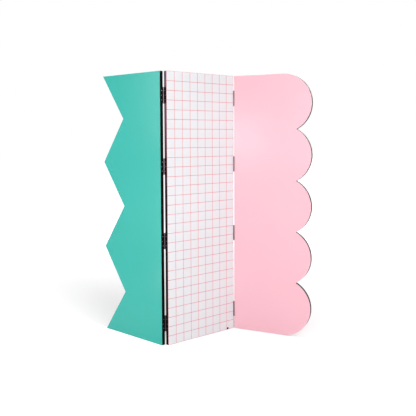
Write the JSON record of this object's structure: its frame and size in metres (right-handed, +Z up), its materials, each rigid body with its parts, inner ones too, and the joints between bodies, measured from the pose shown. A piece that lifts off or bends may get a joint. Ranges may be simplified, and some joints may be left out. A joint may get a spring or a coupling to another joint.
{
  "type": "folding screen",
  "caption": "Zigzag folding screen of hinged rigid boards with black edges, one notched, one with a printed grid and one with a lobed edge, to divide a room.",
  "frame": {"origin": "on the floor, in the middle of the standing screen's footprint", "axes": "+X to the viewer's right, -Y to the front, +Z up"},
  "size_m": [1.3615, 0.3542, 1.703],
  "materials": {
    "core_board": "plain board, hidden by the sheets and the band",
    "black_edge": "matt black",
    "teal_laminate": "satin turquoise",
    "grid_laminate": "satin white with a thin pink square grid",
    "pink_laminate": "satin pale pink",
    "hinge_leaf": "dark satin",
    "hinge_pin": "dull steel",
    "screw_zinc": "zinc plated",
    "glide_nylon": "off-white nylon",
    "black_rubber": "matt"
  },
  "bodies": {
    "middle_board": {"middle_core": "core_board", "middle_edge_band": "black_edge", "middle_front_sheet": "grid_laminate", "middle_back_sheet": "grid_laminate", "middle_left_glide": "glide_nylon", "middle_right_glide": "glide_nylon", "middle_buffer": "black_rubber", "left_fold_hinge_1_middle_leaf": "hinge_leaf", "left_fold_hinge_2_middle_leaf": "hinge_leaf", "left_fold_hinge_3_middle_leaf": "hinge_leaf", "left_fold_hinge_4_middle_leaf": "hinge_leaf", "left_fold_hinge_1_pin": "hinge_pin", "left_fold_hinge_2_pin": "hinge_pin", "left_fold_hinge_3_pin": "hinge_pin", "left_fold_hinge_4_pin": "hinge_pin", "right_fold_hinge_1_middle_leaf": "hinge_leaf", "right_fold_hinge_2_middle_leaf": "hinge_leaf", "right_fold_hinge_3_middle_leaf": "hinge_leaf", "right_fold_hinge_4_middle_leaf": "hinge_leaf", "right_fold_hinge_1_pin": "hinge_pin", "right_fold_hinge_2_pin": "hinge_pin", "right_fold_hinge_3_pin": "hinge_pin", "right_fold_hinge_4_pin": "hinge_pin", "left_fold_middle_screws": "screw_zinc", "right_fold_middle_screws": "screw_zinc"},
    "left_board": {"left_core": "core_board", "left_edge_band": "black_edge", "left_front_sheet": "teal_laminate", "left_back_sheet": "teal_laminate", "left_inner_glide": "glide_nylon", "left_outer_glide": "glide_nylon", "left_fold_hinge_1_left_leaf": "hinge_leaf", "left_fold_hinge_2_left_leaf": "hinge_leaf", "left_fold_hinge_3_left_leaf": "hinge_leaf", "left_fold_hinge_4_left_leaf": "hinge_leaf", "left_fold_left_screws": "screw_zinc"},
    "right_board": {"right_core": "core_board", "right_edge_band": "black_edge", "right_front_sheet": "pink_laminate", "right_back_sheet": "pink_laminate", "right_inner_glide": "glide_nylon", "right_outer_glide": "glide_nylon", "right_fold_hinge_1_right_leaf": "hinge_leaf", "right_fold_hinge_2_right_leaf": "hinge_leaf", "right_fold_hinge_3_right_leaf": "hinge_leaf", "right_fold_hinge_4_right_leaf": "hinge_leaf", "right_fold_right_screws": "screw_zinc"}
  },
  "joints": [
    {"name": "left_fold", "type": "hinge", "parent": "middle_board", "child": "left_board", "pos_m": [-0.2514, -0.15479, 0], "axis": [0, 0, 1], "range_deg": [-102.4, 77.6]},
    {"name": "right_fold", "type": "hinge", "parent": "middle_board", "child": "right_board", "pos_m": [0.18602, 0.14899, 0], "axis": [0, 0, 1], "range_deg": [-117.2, 62.8]}
  ]
}
